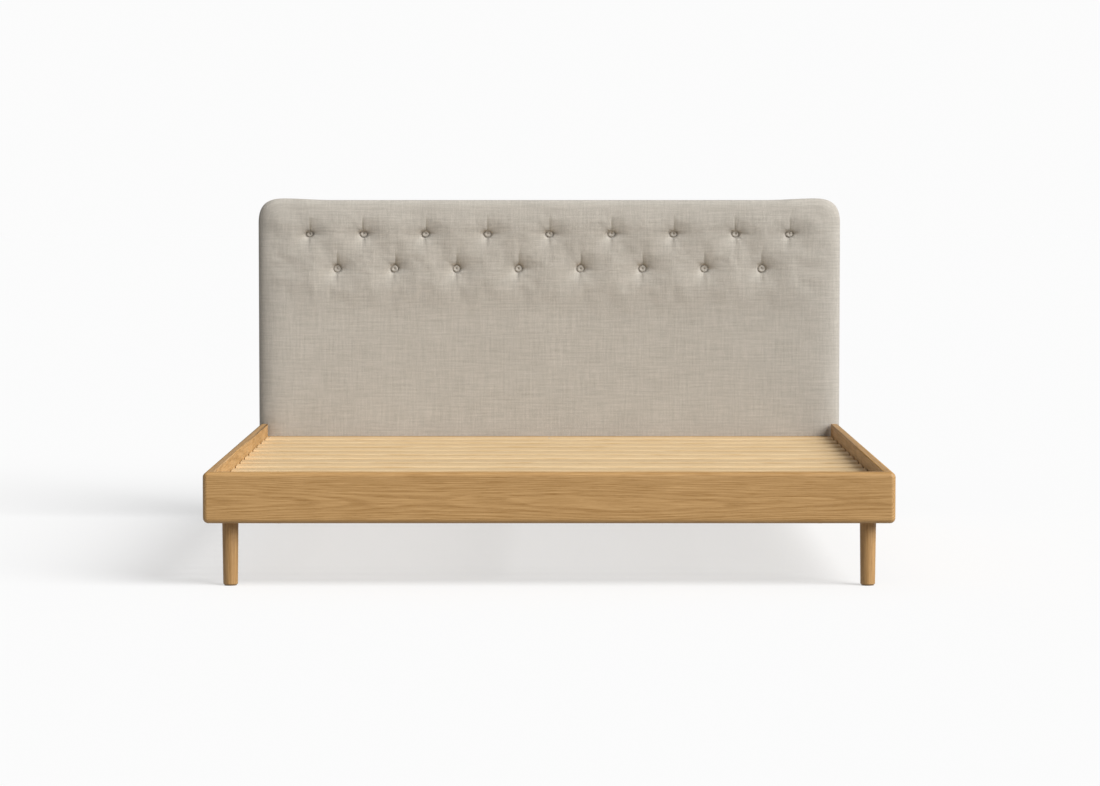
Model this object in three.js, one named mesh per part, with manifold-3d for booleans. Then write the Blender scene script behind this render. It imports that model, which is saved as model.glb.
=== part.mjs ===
// King-size bed frame: an oak rail frame on turned legs, a slatted base on a steel midbeam, and an
// upholstered headboard with two rows of covered buttons.
// Millimetres, +Z up. +X is to the right seen from the foot end, and +Y runs from the foot end to
// the headboard. The origin is on the floor, in the middle of the footprint.
import * as THREE from "three";
import { mergeVertices } from "three/addons/utils/BufferGeometryUtils.js";
import Module from "manifold-3d";

const wasm = await Module();
wasm.setup();

// ---- Driving dimensions ----
const mattressWidth = 1930;
const mattressLength = 2030;
const sideClearance = 18; // between the mattress and each side rail
const endClearance = 10; // between the mattress and the front rail
const railThickness = 32;
const railHeight = 151;
const railBottom = 189; // underside of the rails above the floor
const railEdgeRadius = 16; // outer long edges and the front rail's corners
const railFaceRadius = 14; // rounding between the front rail's face and its edges
const innerEdgeRadius = 3;
const headRailHeight = 108;
const slatCount = 12;
const slatWidth = 95;
const slatThickness = 18;
const slatSpacing = 169; // from one slat's centre to the next
const slatEndGap = 3; // between a slat's end and the side rail
const slatEdgeRadius = 4;
const slatTop = 299;
const ledgeWidth = 28;
const ledgeHeight = 40;
const blockSize = 86; // square corner block, seen from above
const legTopRadius = 24;
const legFootRadius = 21.7;
const legChamfer = 3;
const feltThickness = 3;
const feltRadius = 18.5;
const boltRadius = 4; // M8
const boltClearance = 0.5;
const boltHeadRadius = 7.5;
const boltHeadHeight = 5;
const boltDepthInRail = 20;
const boltDepthInLeg = 42;
const boltHoleSpare = 2; // a blind hole's depth past the bolt's tip
const boltOffset = 22; // of each horizontal bolt from the block's middle
const lowBoltHeight = 13; // above the block's underside, for the bolts into the side rail
const highBoltHeight = 39; // and for the bolts into the end rail
const plateThickness = 3; // pressed steel
const plateReach = 56; // of the corner plate's top flange over the block
const plateSetback = 8; // between a flange's end and the rail
const contactGap = 0.3;
const beamWidth = 40;
const beamHeight = 60;
const beamWall = 2.5;
const beamCornerRadius = 4;
const beamEndGap = 4;
const hangerDepth = 45;
const hangerCheek = 45;
const hangerPlateWidth = 96;
const hangerPlateHeight = 58;
const hangerHoleRadius = 2.6;
const hangerHoleInset = 11; // from the plate's edges to its screw holes
const headboardDepth = 90;
const headboardTop = 1126;
const headboardBottom = 200;
const headboardTopRadius = 70;
const headboardBottomRadius = 34;
const headboardFrontRadius = 30;
const foamThickness = 48;
const coverThickness = 10; // wadding and fabric round the core's edge
const plyThickness = 12;
const frameTimber = 27; // thickness of the ring and stiles behind the plywood
const ringWidth = 42;
const stileWidth = 70;
const stileInset = 130; // from the headboard's side to the stile's outer face
const backClothThickness = 2;
const backClothInset = 14;
const buttonRadius = 12.5;
const buttonHeight = 7;
const buttonEdge = 2; // height of the button's rim below its dome
const buttonUndercut = 1.5; // how far the rim draws in at the button's back
const dimpleDepth = 22;
const dimpleRimRadius = 54;
const dimpleFloorRadius = 13.5;
const topButtonHeight = 1003.5;
const lowButtonHeight = 881.5;
const buttonPitch = 216;
const topRowEnd = 836; // from the middle to the last button of the top row
const lowRowEnd = 740;

// ---- Sizes and places that follow from them ----
const frameHalf = mattressWidth / 2 + sideClearance + railThickness;
const innerHalf = frameHalf - railThickness;
const railTop = railBottom + railHeight;
const totalLength = railThickness + endClearance + mattressLength + headboardDepth;
const frontY = -totalLength / 2;
const backY = totalLength / 2;
const headY = backY - headboardDepth; // front of the headboard
const frontInnerY = frontY + railThickness;
const headInnerY = headY - railThickness;
const slatBottom = slatTop - slatThickness;
const ledgeBottom = slatBottom - ledgeHeight;
const blockHeight = ledgeBottom - railBottom;
const blockCentreX = innerHalf - blockSize / 2;
const coreFrontY = headY + foamThickness;
const ply = { front: coreFrontY + contactGap, back: coreFrontY + contactGap + plyThickness };

// ---- Materials ----
const material = (color, roughness, metalness = 0) =>
  new THREE.MeshStandardMaterial({ color, roughness, metalness });
const oak = material(0xba945f, 0.55);
const pine = material(0xd6ba8a, 0.7);
const plywood = material(0xc6a678, 0.75);
const linen = material(0xb8afa2, 0.95);
const liningCloth = material(0x4a4744, 0.95);
const felt = material(0x3f3a36, 1);
const zincSteel = material(0xa9adb0, 0.4, 0.9);
const paintedSteel = material(0x2f3133, 0.5, 0.6);

// ---- Solid helpers ----
function solidOf(geometry) {
  const bare = geometry.clone();
  bare.deleteAttribute("normal");
  bare.deleteAttribute("uv");
  const merged = mergeVertices(bare, 1e-4);
  return new wasm.Manifold(
    new wasm.Mesh({
      numProp: 3,
      vertProperties: merged.attributes.position.array,
      triVerts: new Uint32Array(merged.index.array),
    }),
  );
}

function geometryOf(solid) {
  const mesh = solid.getMesh();
  const geometry = new THREE.BufferGeometry();
  geometry.setAttribute("position", new THREE.BufferAttribute(mesh.vertProperties, 3));
  geometry.setIndex(new THREE.BufferAttribute(mesh.triVerts, 1));
  geometry.computeVertexNormals();
  return geometry;
}

function cut(geometry, tools) {
  return geometryOf(tools.reduce((solid, tool) => solid.subtract(solidOf(tool)), solidOf(geometry)));
}

function join(geometries) {
  return geometryOf(geometries.map(solidOf).reduce((whole, piece) => whole.add(piece)));
}

// A box between two corners given as [x, y, z].
function box(low, high) {
  const size = high.map((value, i) => value - low[i]);
  const middle = high.map((value, i) => (value + low[i]) / 2);
  return new THREE.BoxGeometry(...size).translate(...middle);
}

// A round or six-sided bar along an axis, from one coordinate on that axis to another, through [x, y, z].
function bar(radius, axis, from, to, [x, y, z], segments = 12) {
  const geometry = new THREE.CylinderGeometry(radius, radius, Math.abs(to - from), segments);
  const middle = (from + to) / 2;
  if (axis === "x") return geometry.rotateZ(Math.PI / 2).translate(middle, y, z);
  if (axis === "y") return geometry.translate(x, middle, z);
  return geometry.rotateX(Math.PI / 2).translate(x, y, middle);
}

// A rectangle whose corner radii run anticlockwise from the corner at (x0, y0).
function roundedRect(x0, y0, x1, y1, [r00, r10, r11, r01]) {
  const shape = new THREE.Shape();
  const corner = (x, y, radius, start) =>
    radius ? shape.absarc(x, y, radius, start, start + Math.PI / 2, false) : shape.lineTo(x, y);
  shape.moveTo(x0 + r00, y0);
  corner(x1 - r10, y0 + r10, r10, -Math.PI / 2);
  corner(x1 - r11, y1 - r11, r11, 0);
  corner(x0 + r01, y1 - r01, r01, Math.PI / 2);
  corner(x0 + r00, y0 + r00, r00, Math.PI);
  return shape;
}

// A shape drawn in (y, z), carried along X.
function alongX(shape, from, to, curveSegments = 2) {
  const turn = new THREE.Matrix4().makeBasis(
    new THREE.Vector3(0, 1, 0),
    new THREE.Vector3(0, 0, 1),
    new THREE.Vector3(1, 0, 0),
  );
  const geometry = new THREE.ExtrudeGeometry(shape, {
    depth: to - from,
    bevelEnabled: false,
    curveSegments,
  });
  return geometry.applyMatrix4(turn).translate(from, 0, 0);
}

// A shape drawn in (x, z), carried along Y.
function alongY(shape, from, to, curveSegments = 2) {
  const geometry = new THREE.ExtrudeGeometry(shape, {
    depth: to - from,
    bevelEnabled: false,
    curveSegments,
  });
  return geometry.rotateX(Math.PI / 2).translate(0, to, 0);
}

// A panel drawn in (x, z) between two places on Y, with its front edge rounded over and its back square.
function roundedPanel(shape, front, back, radius, bevelSegments, curveSegments) {
  const geometry = new THREE.ExtrudeGeometry(shape, {
    depth: back - front - radius,
    bevelThickness: radius,
    bevelSize: radius,
    bevelOffset: -radius,
    bevelSegments,
    curveSegments,
  })
    .rotateX(Math.PI / 2)
    .translate(0, back, 0);
  const far = frameHalf + radius;
  const backHalf = box([-far, back, 0], [far, back + 2 * radius, headboardTop + radius]);
  return cut(geometry, [backHalf]);
}

const bed = new THREE.Group();

function add(name, geometry, finish, x = 0, y = 0, z = 0) {
  const mesh = new THREE.Mesh(geometry, finish);
  mesh.name = name;
  mesh.position.set(x, y, z);
  bed.add(mesh);
}

// ---- Corners: where the blocks, legs and bolts are ----
const corners = [];
for (const end of [-1, 1])
  for (const side of [-1, 1])
    corners.push({
      name: `${end < 0 ? "front" : "rear"}_${side < 0 ? "left" : "right"}`,
      end,
      side,
      x: side * blockCentreX,
      y: end < 0 ? frontInnerY + blockSize / 2 : headInnerY - blockSize / 2,
    });

// The four level bolts of a corner: two into the side rail along X, two into the end rail along Y.
function levelBolts({ end, side, x, y }) {
  const innerFace = blockSize / 2 + contactGap + plateThickness;
  const railReach = blockSize / 2 + boltDepthInRail;
  return [-boltOffset, boltOffset].flatMap((offset) => [
    {
      axis: "x",
      head: x - side * innerFace,
      tip: x + side * railReach,
      outward: -side,
      at: [0, y + offset, railBottom + lowBoltHeight],
    },
    {
      axis: "y",
      head: y - end * innerFace,
      tip: y + end * railReach,
      outward: -end,
      at: [x + offset, 0, railBottom + highBoltHeight],
    },
  ]);
}

const boltHoles = (corner) =>
  levelBolts(corner).map(({ axis, head, tip, outward, at }) =>
    bar(boltRadius + boltClearance, axis, head, tip - outward * boltHoleSpare, at),
  );

const holesOf = (end, side) =>
  corners.filter((c) => (!end || c.end === end) && (!side || c.side === side)).flatMap(boltHoles);

// ---- Rails ----
function frontRail() {
  const outline = roundedRect(
    -frameHalf,
    railBottom,
    frameHalf,
    railTop,
    Array(4).fill(railEdgeRadius),
  );
  const blank = roundedPanel(outline, frontY, frontInnerY, railFaceRadius, 4, 3);
  return cut(blank, holesOf(-1, 0));
}

function sideRail(side) {
  const [outer, inner] = [railEdgeRadius, innerEdgeRadius];
  const radii = side < 0 ? [outer, inner, inner, outer] : [inner, outer, outer, inner];
  const x0 = side < 0 ? -frameHalf : innerHalf;
  const profile = roundedRect(x0, railBottom, x0 + railThickness, railTop, radii);
  return cut(alongY(profile, frontInnerY, headY - contactGap, 3), holesOf(0, side));
}

function headRail() {
  const top = railBottom + headRailHeight;
  const profile = roundedRect(headInnerY, railBottom, headY - contactGap, top, [
    innerEdgeRadius,
    0,
    0,
    innerEdgeRadius,
  ]);
  return cut(alongX(profile, -innerHalf, innerHalf), holesOf(1, 0));
}

add("front_rail", frontRail(), oak);
add("side_rail_left", sideRail(-1), oak);
add("side_rail_right", sideRail(1), oak);
add("head_rail", headRail(), oak);

// ---- Corner blocks, legs and their hardware ----
function cornerBlock(corner) {
  const { x, y } = corner;
  const half = blockSize / 2;
  const blank = box(
    [x - half, y - half, railBottom],
    [x + half, y + half, railBottom + blockHeight],
  );
  const legHole = bar(boltRadius + boltClearance, "z", railBottom - 1, slatBottom, [x, y, 0]);
  return cut(blank, [...boltHoles(corner), legHole]);
}

function leg() {
  const height = railBottom - feltThickness;
  const holeRadius = boltRadius + boltClearance;
  const holeFloor = height - boltDepthInLeg - boltHoleSpare;
  const bottomRadius = legFootRadius - legChamfer;
  const profile = [
    [0, 0],
    [bottomRadius, 0],
    [bottomRadius + legChamfer * Math.SQRT1_2, legChamfer * (1 - Math.SQRT1_2)],
    [legFootRadius, legChamfer],
    [legTopRadius, height],
    [holeRadius, height],
    [holeRadius, holeFloor],
    [0, holeFloor],
  ].map(([radius, z]) => new THREE.Vector2(radius, z));
  return new THREE.LatheGeometry(profile, 28).rotateX(Math.PI / 2);
}

// A pressed plate over the block's two inner faces and its top, with the corner's five bolts on it.
function cornerPlate(corner) {
  const { end, side, x, y } = corner;
  const face = blockSize / 2 + contactGap;
  const outer = face + plateThickness;
  const top = railBottom + blockHeight + contactGap;
  const low = railBottom + contactGap;
  // A box given by its reach from the block's middle towards the side rail and the end rail.
  const piece = ([across0, along0, z0], [across1, along1, z1]) => {
    const xs = [x + side * across0, x + side * across1].sort((a, b) => a - b);
    const ys = [y + end * along0, y + end * along1].sort((a, b) => a - b);
    return box([xs[0], ys[0], z0], [xs[1], ys[1], z1]);
  };
  const reach = plateReach - outer;
  const flangeEnd = blockSize / 2 - plateSetback;
  const plates = [
    piece([-outer, -outer, low], [-face, flangeEnd, top + plateThickness]),
    piece([-outer, -outer, low], [flangeEnd, -face, ledgeBottom - contactGap]),
    piece([-outer, -outer, low], [reach, -face, top + plateThickness]),
    piece([-outer, -outer, top], [reach, flangeEnd, top + plateThickness]),
  ];
  const bolts = levelBolts(corner).flatMap(({ axis, head, tip, outward, at }) => [
    bar(boltRadius, axis, head, tip, at),
    bar(boltHeadRadius, axis, head, head + outward * boltHeadHeight, at, 6),
  ]);
  const legBoltTop = top + plateThickness;
  const legBolt = [
    bar(boltRadius, "z", railBottom - boltDepthInLeg, legBoltTop, [x, y, 0]),
    bar(boltHeadRadius, "z", legBoltTop, legBoltTop + boltHeadHeight, [x, y, 0], 6),
  ];
  return join([...plates, ...bolts, ...legBolt]);
}

for (const corner of corners) {
  add(`corner_block_${corner.name}`, cornerBlock(corner), pine);
  add(`corner_plate_${corner.name}`, cornerPlate(corner), zincSteel);
  add(`leg_${corner.name}`, leg(), oak, corner.x, corner.y, feltThickness);
  add(
    `felt_pad_${corner.name}`,
    bar(feltRadius, "z", 0, feltThickness, [0, 0, 0], 28),
    felt,
    corner.x,
    corner.y,
  );
}

// ---- Slatted base ----
for (const side of [-1, 1]) {
  const xs = [side * innerHalf, side * (innerHalf - ledgeWidth)].sort((a, b) => a - b);
  add(
    `slat_ledge_${side < 0 ? "left" : "right"}`,
    box([xs[0], frontInnerY, ledgeBottom], [xs[1], headInnerY, slatBottom]),
    pine,
  );
}

function midbeam() {
  const half = beamWidth / 2;
  const profile = roundedRect(
    -half,
    slatBottom - beamHeight,
    half,
    slatBottom,
    Array(4).fill(beamCornerRadius),
  );
  const inside = roundedRect(
    -half + beamWall,
    slatBottom - beamHeight + beamWall,
    half - beamWall,
    slatBottom - beamWall,
    Array(4).fill(beamCornerRadius - beamWall / 2),
  );
  profile.holes.push(new THREE.Path(inside.getPoints(1).reverse()));
  return alongY(profile, frontInnerY + beamEndGap, headInnerY - beamEndGap, 1);
}

// A U-shaped hanger that carries one end of the midbeam, on a plate screwed to the rail.
function hanger(end) {
  const rail = end < 0 ? frontInnerY : headInnerY;
  const inside = beamWidth / 2 + contactGap;
  const outside = inside + plateThickness;
  const seat = slatBottom - beamHeight - contactGap;
  const reach = (depth) => [rail, rail - end * depth].sort((a, b) => a - b);
  const [y0, y1] = reach(hangerDepth);
  const [p0, p1] = reach(plateThickness);
  const cheekTop = seat + hangerCheek;
  const plateBottom = cheekTop - hangerPlateHeight;
  const half = hangerPlateWidth / 2;
  const plate = cut(
    box([-half, p0, plateBottom], [half, p1, cheekTop]),
    [-1, 1].flatMap((side) =>
      [plateBottom + hangerHoleInset, cheekTop - hangerHoleInset].map((z) =>
        bar(hangerHoleRadius, "y", p0 - 1, p1 + 1, [side * (half - hangerHoleInset), 0, z]),
      ),
    ),
  );
  return join([
    plate,
    box([-outside, y0, seat - plateThickness], [outside, y1, seat]),
    box([-outside, y0, seat - plateThickness], [-inside, y1, cheekTop]),
    box([inside, y0, seat - plateThickness], [outside, y1, cheekTop]),
  ]);
}

add("midbeam", midbeam(), paintedSteel);
add("midbeam_hanger_front", hanger(-1), zincSteel);
add("midbeam_hanger_rear", hanger(1), zincSteel);

const slatProfile = roundedRect(
  -slatWidth / 2,
  slatBottom,
  slatWidth / 2,
  slatTop,
  Array(4).fill(slatEdgeRadius),
);
const slatReach = innerHalf - slatEndGap;
for (let i = 0; i < slatCount; i++) {
  const y = (frontInnerY + headInnerY) / 2 + (i - (slatCount - 1) / 2) * slatSpacing;
  const number = String(i + 1).padStart(2, "0");
  add(`slat_${number}`, alongX(slatProfile, -slatReach, slatReach, 1), pine, 0, y);
}

// ---- Headboard ----
const buttonPlaces = [
  ...[-topRowEnd, ...[-3, -2, -1, 0, 1, 2, 3].map((i) => i * buttonPitch), topRowEnd].map(
    (x, i) => ({ name: `button_top_${i + 1}`, x, z: topButtonHeight }),
  ),
  ...[-lowRowEnd, ...[-5, -3, -1, 1, 3, 5].map((i) => (i * buttonPitch) / 2), lowRowEnd].map(
    (x, i) => ({ name: `button_low_${i + 1}`, x, z: lowButtonHeight }),
  ),
];

// The headboard's outline in (x, z), drawn in from the outer face by an inset.
const headboardOutline = (inset) =>
  roundedRect(
    -frameHalf + inset,
    headboardBottom + inset,
    frameHalf - inset,
    headboardTop - inset,
    [headboardBottomRadius, headboardBottomRadius, headboardTopRadius, headboardTopRadius].map(
      (radius) => radius - inset,
    ),
  );

const padBack = backY - backClothThickness - contactGap;

// Foam and cover: a padded front that wraps the core's edges, open at the back, dimpled at the buttons.
function headboardPad() {
  const blank = roundedPanel(headboardOutline(0), headY, padBack, headboardFrontRadius, 4, 4);
  const pocket = alongY(headboardOutline(coverThickness), coreFrontY, backY, 4);
  const dimple = ({ x, z }) =>
    new THREE.CylinderGeometry(dimpleFloorRadius, dimpleRimRadius, dimpleDepth, 14)
      .translate(x, headY + dimpleDepth / 2, z);
  return cut(blank, [pocket, ...buttonPlaces.map(dimple)]);
}

function button() {
  const dome = buttonHeight - buttonEdge;
  const crown = [30, 60].map((degrees) => {
    const angle = (degrees * Math.PI) / 180;
    return [buttonRadius * Math.cos(angle), buttonEdge + dome * Math.sin(angle)];
  });
  const profile = [
    [0, 0],
    [buttonRadius - buttonUndercut, 0],
    [buttonRadius, buttonEdge],
    ...crown,
    [0, buttonHeight],
  ];
  const points = profile.map(([radius, height]) => new THREE.Vector2(radius, height));
  return new THREE.LatheGeometry(points, 14).rotateX(Math.PI);
}

const coreInset = coverThickness + contactGap;
const timberFront = ply.back + contactGap;
const ringInside = coreInset + ringWidth;

// The timber ring behind the plywood, following the headboard's outline.
function headboardRing() {
  const ring = headboardOutline(coreInset);
  const inside = roundedRect(
    -frameHalf + ringInside,
    headboardBottom + ringInside,
    frameHalf - ringInside,
    headboardTop - ringInside,
    [0, 0, headboardTopRadius - ringInside, headboardTopRadius - ringInside],
  );
  ring.holes.push(new THREE.Path(inside.getPoints(3).reverse()));
  return alongY(ring, timberFront, timberFront + frameTimber, 3);
}

add("headboard_pad", headboardPad(), linen);
add("headboard_core", alongY(headboardOutline(coreInset), ply.front, ply.back, 3), plywood);
add("headboard_ring", headboardRing(), pine);
for (const side of [-1, 1]) {
  const edge = side * (frameHalf - stileInset);
  const xs = [edge, edge - side * stileWidth].sort((a, b) => a - b);
  add(
    `headboard_stile_${side < 0 ? "left" : "right"}`,
    box(
      [xs[0], timberFront, headboardBottom + ringInside + contactGap],
      [xs[1], timberFront + frameTimber, headboardTop - ringInside - contactGap],
    ),
    pine,
  );
}
add(
  "headboard_back_cloth",
  alongY(headboardOutline(backClothInset), backY - backClothThickness, backY, 3),
  liningCloth,
);
for (const { name, x, z } of buttonPlaces)
  add(name, button(), linen, x, headY + dimpleDepth - contactGap, z);

export default bed;
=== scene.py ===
"""King-size bed frame: oak rails and legs, a slatted base and a button-tufted linen headboard.

Metres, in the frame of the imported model: +Z up, +Y towards the headboard, +X to the right seen from
the foot end.
"""
import math

import bmesh
import bpy
import numpy as np
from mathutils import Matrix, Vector


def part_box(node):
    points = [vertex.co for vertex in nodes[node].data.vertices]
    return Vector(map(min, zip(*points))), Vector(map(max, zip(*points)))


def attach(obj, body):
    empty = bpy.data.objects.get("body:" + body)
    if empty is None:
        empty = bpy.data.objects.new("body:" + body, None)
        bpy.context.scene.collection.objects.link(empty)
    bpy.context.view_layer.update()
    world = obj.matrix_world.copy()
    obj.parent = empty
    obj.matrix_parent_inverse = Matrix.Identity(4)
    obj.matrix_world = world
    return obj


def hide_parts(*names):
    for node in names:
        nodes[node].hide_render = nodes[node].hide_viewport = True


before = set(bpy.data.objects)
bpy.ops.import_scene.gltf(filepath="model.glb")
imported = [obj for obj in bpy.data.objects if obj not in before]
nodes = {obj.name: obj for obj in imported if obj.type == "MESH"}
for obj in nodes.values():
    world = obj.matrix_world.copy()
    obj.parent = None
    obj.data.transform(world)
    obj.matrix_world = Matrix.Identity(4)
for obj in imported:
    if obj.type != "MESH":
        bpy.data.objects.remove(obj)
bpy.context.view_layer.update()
rng = np.random.default_rng(17)

# ---- Sizes the CAD model doesn't hold ----
RAIL_CORNER = 0.016  # outer long edges of the rails, and the front rail's corners
RAIL_FACE_EDGE = 0.014  # rounding of the front rail's face
RAIL_INNER_EDGE = 0.003
LEG_TAPER = 0.0023  # how much slimmer a leg is at its foot, on the radius
FOOT_EDGE = 0.003
PAD_TOP_CORNER = 0.070
PAD_BOTTOM_CORNER = 0.034
PAD_CROWN = 0.095  # how far in from its edges the headboard's face rounds off
PAD_CROWN_DEPTH = 0.038  # and how far back the face has gone at the edge
PAD_TOP_POWER = 2.7  # how boxy the crown is along the top, where 2 is an ellipse
PAD_SIDE_POWER = 2.5  # and along the sides
PAD_BACK_EDGE = 0.006
PAD_TURN_IN = 0.024  # cover turned in over the back
CLOTH_THICKNESS = 0.001
PAD_TOP_DIP = 0.0058  # the top edge's drop between its corners
TUFT_HOLE = 0.0120  # radius at which the cover dives under its button
TUFT_PULL = 0.0100  # slope of the pulled cover times the distance to its button
TUFT_REACH = 0.100  # where that pull fades into the flat
TUFT_LEVEL = 0.0085  # how far the stuffing between the buttons makes up for the pull
CREVICE = 0.0065  # how much deeper the cover dives right at a button
FOLD_WIDTH = 0.0008  # how sharply the fold above a button steps down
HOOD_UPPER = 0.0085  # how far the cover hangs over the tops of the upper row's buttons
HOOD_LOWER = 0.0012  # and of the lower row's
GATHER_DEPTH, GATHER_PITCH = 0.0016, 0.0125  # pleats of the cover round its top corners
FINE_CLOTH, COARSE_CLOTH = 0.0023, 0.0095  # mesh spacing at the buttons and away from them
SETTLE_STEP = 0.0070  # mesh spacing of the cloth simulation
SETTLE_BORDER = 0.045  # how far in from the headboard's edges it starts
SETTLE_FROM = 0.62  # and the height it starts at
SETTLE_GRIP = 0.10  # how firmly the stuffing holds the cloth where it lies
SETTLE_SLACK = 0.0012  # extra length of the cloth, as a share
SETTLE_PUSH = 9.8  # outward push of the stuffing
SETTLE_FRAMES = 16
SETTLE_LIMIT = 0.0035  # the most that the cloth may move
LINING_CORNER_INSET = 0.013
LINING_STEP = 0.012  # spacing of the points along the lining's edge
LINING_HOLLOW = 0.0009  # how far the lining sinks at its middle
STAPLE_SPACING = 0.045
STAPLE_WIDTH, STAPLE_WIRE = 0.010, 0.0007
STAPLE_INSET = 0.007
TAPE_WIDTH = 0.025
TAPE_THICKNESS = 0.0012
TAPE_OFFSET = 0.62  # of each webbing tape from the middle of the bed
TAPE_SAG = 0.0035  # between two slats
SCREW_RADIUS, SMALL_SCREW_RADIUS = 0.0042, 0.0038
BOLT_HEAD, BOLT_WASHER = 0.0075, 0.0095  # radii
BOLT_DROP = 0.024  # below the rear rail's top
SLAT_SCREW_INSET = 0.024  # from a slat's long edges
HANGER_PLATE = 0.003
HANGER_SCREW_INSET, HANGER_SCREW_PITCH = 0.011, 0.036


# ---- Mesh helpers ----
def face_outwards(mesh):
    """Turns the faces of a closed mesh outwards."""
    solid = bmesh.new()
    solid.from_mesh(mesh)
    if all(edge.is_manifold for edge in solid.edges) and solid.calc_volume(signed=True) < 0:
        mesh.flip_normals()
    solid.free()


def mesh_object(name, verts, faces, material, smooth=True):
    mesh = bpy.data.meshes.new(name)
    mesh.from_pydata([tuple(v) for v in verts], [], [tuple(int(i) for i in f) for f in faces])
    mesh.validate()
    face_outwards(mesh)
    mesh.polygons.foreach_set("use_smooth", [smooth] * len(mesh.polygons))
    mesh.materials.append(material)
    piece = bpy.data.objects.new(name, mesh)
    bpy.context.scene.collection.objects.link(piece)
    return piece


def place(piece, slot, *cad_nodes):
    """The piece rides on the bed and stands for the CAD nodes named. slot is not used."""
    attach(piece, "root")
    if cad_nodes:
        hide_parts(*cad_nodes)
    return piece


def keep_flats_flat(piece):
    """Smooth shading that leaves large faces flat."""
    weighted = piece.modifiers.new("flats", "WEIGHTED_NORMAL")
    weighted.weight = 100
    weighted.keep_sharp = True


def rounded_loop(x0, z0, x1, z1, radii, steps):
    """Points and outward normals round a rectangle, corner by corner from (x0, z0), anticlockwise."""
    centres = [
        (x0 + radii[0], z0 + radii[0]),
        (x1 - radii[1], z0 + radii[1]),
        (x1 - radii[2], z1 - radii[2]),
        (x0 + radii[3], z1 - radii[3]),
    ]
    points, normals = [], []
    for corner, (cx, cz) in enumerate(centres):
        start = math.pi + corner * math.pi / 2
        for step in range(steps + 1):
            angle = start + step / steps * math.pi / 2
            normal = (math.cos(angle), math.sin(angle))
            normals.append(normal)
            points.append((cx + radii[corner] * normal[0], cz + radii[corner] * normal[1]))
    return np.array(points), np.array(normals)


def at_depth(outline, y):
    """An outline of x and z, standing at a y."""
    return np.stack([outline[:, 0], np.full(len(outline), y), outline[:, 1]], axis=1)


def quarter_round(radius, steps):
    """How far a rounded edge has run on and fallen away, from where it starts to its full turn."""
    turns = np.linspace(0, math.pi / 2, steps + 1)
    return list(zip(radius * np.sin(turns), radius * (1 - np.cos(turns))))


def grid_faces(index):
    """Four-sided faces between the points of a grid."""
    corners = [index[:-1, :-1], index[:-1, 1:], index[1:, 1:], index[1:, :-1]]
    return np.stack(corners, axis=2).reshape(-1, 4).tolist()


def closed(index):
    """A grid whose rows come back to their first point."""
    return np.column_stack([index, index[:, 0]])


def ring_faces(rings, count, first=0):
    """Faces between rings of points, numbered one ring after the other."""
    return grid_faces(closed(first + np.arange(rings * count).reshape(rings, count)))


def loft(loops):
    """A closed skin over loops of equal length, capped at both ends."""
    count = len(loops[0])
    last = (len(loops) - 1) * count
    caps = [range(count)[::-1], range(last, last + count)]
    return np.concatenate(loops), ring_faces(len(loops), count) + caps


def revolve(profile, segments, shape=None):
    """Loops round +Z through (radius, height) points that start and end on the axis.

    shape(angle, index) scales each profile point's radius.
    """
    angles = np.arange(segments) * 2 * math.pi / segments
    verts = [(0, 0, profile[0][1])]
    for index, (radius, height) in enumerate(profile[1:-1]):
        scale = shape(angles, index + 1) if shape else np.ones(segments)
        for angle, factor in zip(angles, scale):
            verts.append((radius * factor * math.cos(angle), radius * factor * math.sin(angle), height))
    verts.append((0, 0, profile[-1][1]))
    faces = ring_faces(len(profile) - 2, segments, first=1)
    last = len(verts) - 1
    for i in range(segments):
        j = (i + 1) % segments
        faces += [(0, 1 + j, 1 + i), (last - segments + i, last - segments + j, last)]
    return np.array(verts, float), faces


def turned(verts, direction):
    """Verts built along +Z, turned to point along a direction."""
    turn = Vector((0, 0, 1)).rotation_difference(Vector(direction)).to_matrix()
    return verts @ np.array(turn).T


def repeated(verts, faces, places):
    """Copies of one small mesh at several places, as one mesh."""
    all_verts = np.concatenate([verts + np.array(p) for p in places])
    all_faces = [
        tuple(i + n * len(verts) for i in face) for n in range(len(places)) for face in faces
    ]
    return all_verts, all_faces


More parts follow.
